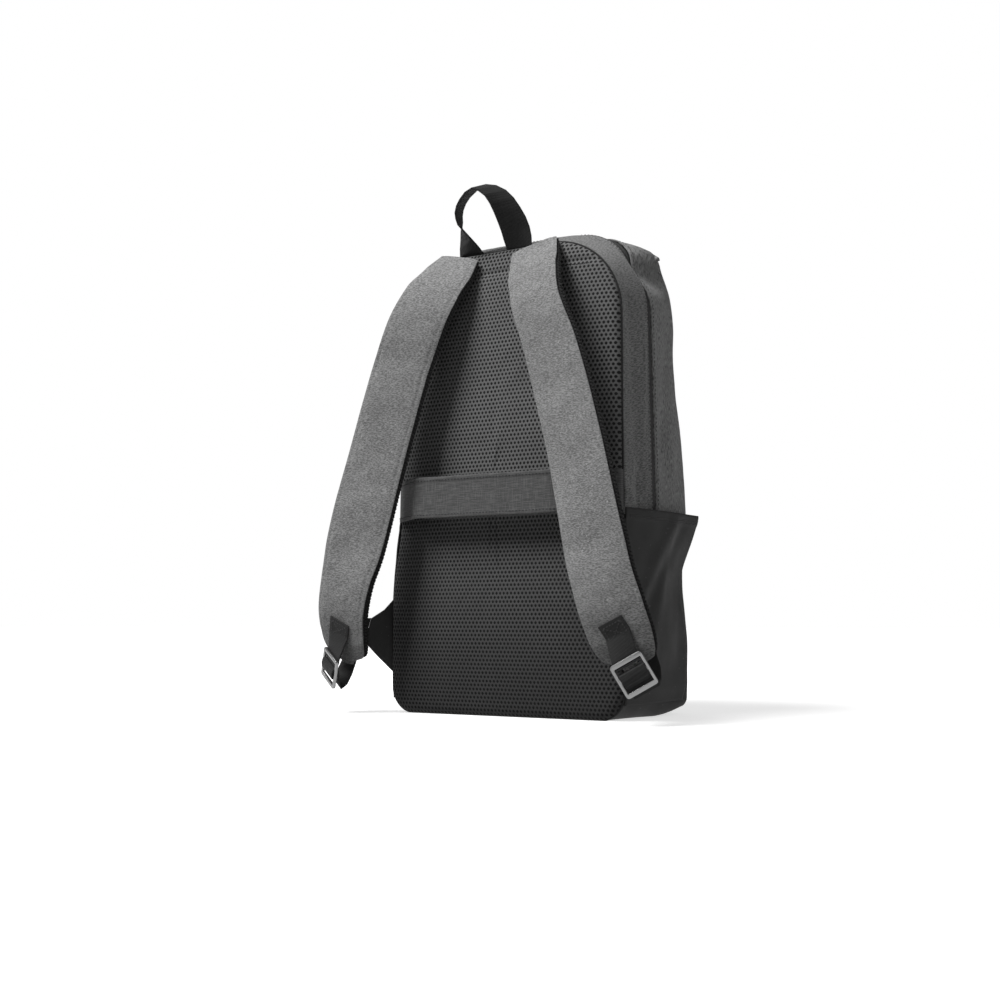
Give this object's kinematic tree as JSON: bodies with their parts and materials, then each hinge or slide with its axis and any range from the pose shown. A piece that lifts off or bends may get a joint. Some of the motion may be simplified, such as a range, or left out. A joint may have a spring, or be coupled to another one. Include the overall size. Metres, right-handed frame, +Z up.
{
  "type": "laptop backpack",
  "caption": "Zipped soft laptop backpack with a padded mesh back, shoulder straps, grab handle, side pockets and a trolley band.",
  "frame": {"origin": "middle of the flat patch of the base that the bag stands on", "axes": "+Z up, +Y out of the front, -Y towards the wearer's back, +X to the wearer's right"},
  "size_m": [0.3744, 0.2122, 0.5162],
  "materials": {
    "melange": "matte grey melange woven fabric",
    "strap_melange": "matte light grey melange woven fabric",
    "base_fabric": "smooth black woven fabric, slightly satin",
    "air_mesh": "dark spacer mesh with hexagonal holes",
    "heather": "dark heather fabric",
    "webbing": "black woven webbing",
    "zip": "black coated zip tape",
    "slider_metal": "dark painted metal",
    "buckle_metal": "polished nickel"
  },
  "bodies": {
    "root": {"back_panel": "air_mesh", "rear_gusset": "melange", "zip_tape": "zip", "front_shell": "melange", "base_shell": "base_fabric", "trolley_band": "heather", "grab_handle": "webbing", "zip_slider_upper": "slider_metal", "zip_slider_lower": "slider_metal", "side_pocket_left": "base_fabric", "strap_cover_left": "strap_melange", "strap_pad_left": "air_mesh", "strap_tab_left": "webbing", "buckle_left": "buckle_metal", "adjuster_left": "webbing", "wing_left": "base_fabric", "side_pocket_right": "base_fabric", "strap_cover_right": "strap_melange", "strap_pad_right": "air_mesh", "strap_tab_right": "webbing", "buckle_right": "buckle_metal", "adjuster_right": "webbing", "wing_right": "base_fabric"}
  },
  "joints": []
}
